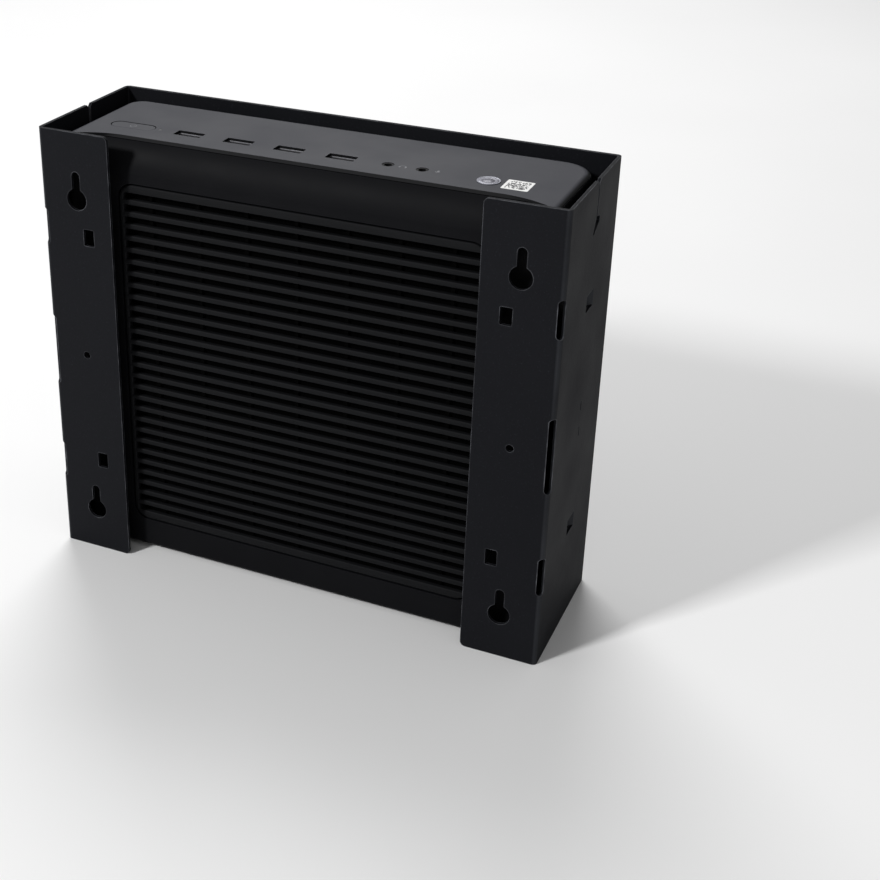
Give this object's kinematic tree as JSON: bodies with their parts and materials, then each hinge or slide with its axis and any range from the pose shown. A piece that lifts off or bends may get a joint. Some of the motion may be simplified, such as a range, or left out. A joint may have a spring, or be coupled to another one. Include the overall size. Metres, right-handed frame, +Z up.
{
  "type": "mini computer",
  "caption": "Small desktop computer with a ribbed air grille, standing port panel up in a folded steel mounting sleeve with keyholes and monitor-mount holes.",
  "frame": {"origin": "middle of the sleeve's footprint, on the surface that it stands on", "axes": "+X to the right seen from the grille side, +Y from the grille towards the back plate, +Z up out of the port panel"},
  "size_m": [0.255, 0.079, 0.223],
  "materials": {
    "sleeve_coat": "fine textured powder coat, charcoal",
    "shell_plastic": "matte moulded, black",
    "panel_plastic": "matte moulded, dark bluish grey",
    "button_plastic": "matte, dark grey",
    "black_plastic": "satin black",
    "lens_plastic": "frosted clear",
    "plated_steel": "bright plated sheet",
    "board": "green solder mask",
    "copper_gold": "gold flashed contacts",
    "chip": "black epoxy",
    "sink_metal": "extruded",
    "lid_metal": "nickel plated",
    "screw_black": "black oxide",
    "brass_part": "turned",
    "drive_metal": "cast and painted",
    "disc_metal": "satin anodised, grey",
    "label_paper": "coated label",
    "screen_mesh": "fine black woven filter",
    "foot_rubber": "matt"
  },
  "bodies": {
    "sleeve": {"mounting_sleeve": "sleeve_coat"},
    "computer": {"top_cover": "shell_plastic", "base_shell": "shell_plastic", "vent_grille": "shell_plastic", "dust_screen": "screen_mesh", "front_bezel": "panel_plastic", "power_switch": "black_plastic", "led_lens": "lens_plastic", "front_board": "board", "front_usb_shells": "plated_steel", "front_usb_tongues": "black_plastic", "audio_jacks": "black_plastic", "badge_disc": "disc_metal", "code_label": "label_paper", "motherboard": "board", "board_standoffs": "brass_part", "board_screws": "plated_steel", "case_screws": "screw_black", "cpu_socket": "black_plastic", "processor": "lid_metal", "heat_sink": "sink_metal", "fan_frame": "black_plastic", "fan_screws": "plated_steel", "memory_sockets": "black_plastic", "memory_modules": "board", "m2_sockets": "black_plastic", "ssd_card": "board", "radio_card": "board", "coin_cell": "plated_steel", "coin_cell_holder": "black_plastic", "power_chokes": "chip", "capacitors": "sink_metal", "chipset_sink": "sink_metal", "drive_caddy": "plated_steel", "storage_drive": "drive_metal", "speaker": "black_plastic", "antennas": "copper_gold", "rear_plate": "plated_steel", "lan_jack": "black_plastic", "rear_usb_shells": "plated_steel", "rear_usb_tongues": "black_plastic", "rear_usb_frames": "black_plastic", "video_ports": "plated_steel", "dc_jack": "black_plastic", "thumbscrew": "screw_black", "lock_slot": "plated_steel", "rubber_feet": "foot_rubber"},
    "power_button": {"power_button": "button_plastic"},
    "fan": {"fan_rotor": "black_plastic"}
  },
  "joints": [
    {"name": "computer_slide", "type": "slide", "parent": "sleeve", "child": "computer", "axis": [0, 0, 1], "range_m": [0, 0.225]},
    {"name": "button_press", "type": "slide", "parent": "computer", "child": "power_button", "axis": [0, 0, -1], "range_m": [0, 0.001], "stiffness_N_per_m": 400, "springref_m": -0.001},
    {"name": "fan_spin", "type": "hinge", "parent": "computer", "child": "fan", "pos_m": [-0.026, 0, 0.084], "axis": [0, -1, 0], "continuous": true}
  ]
}
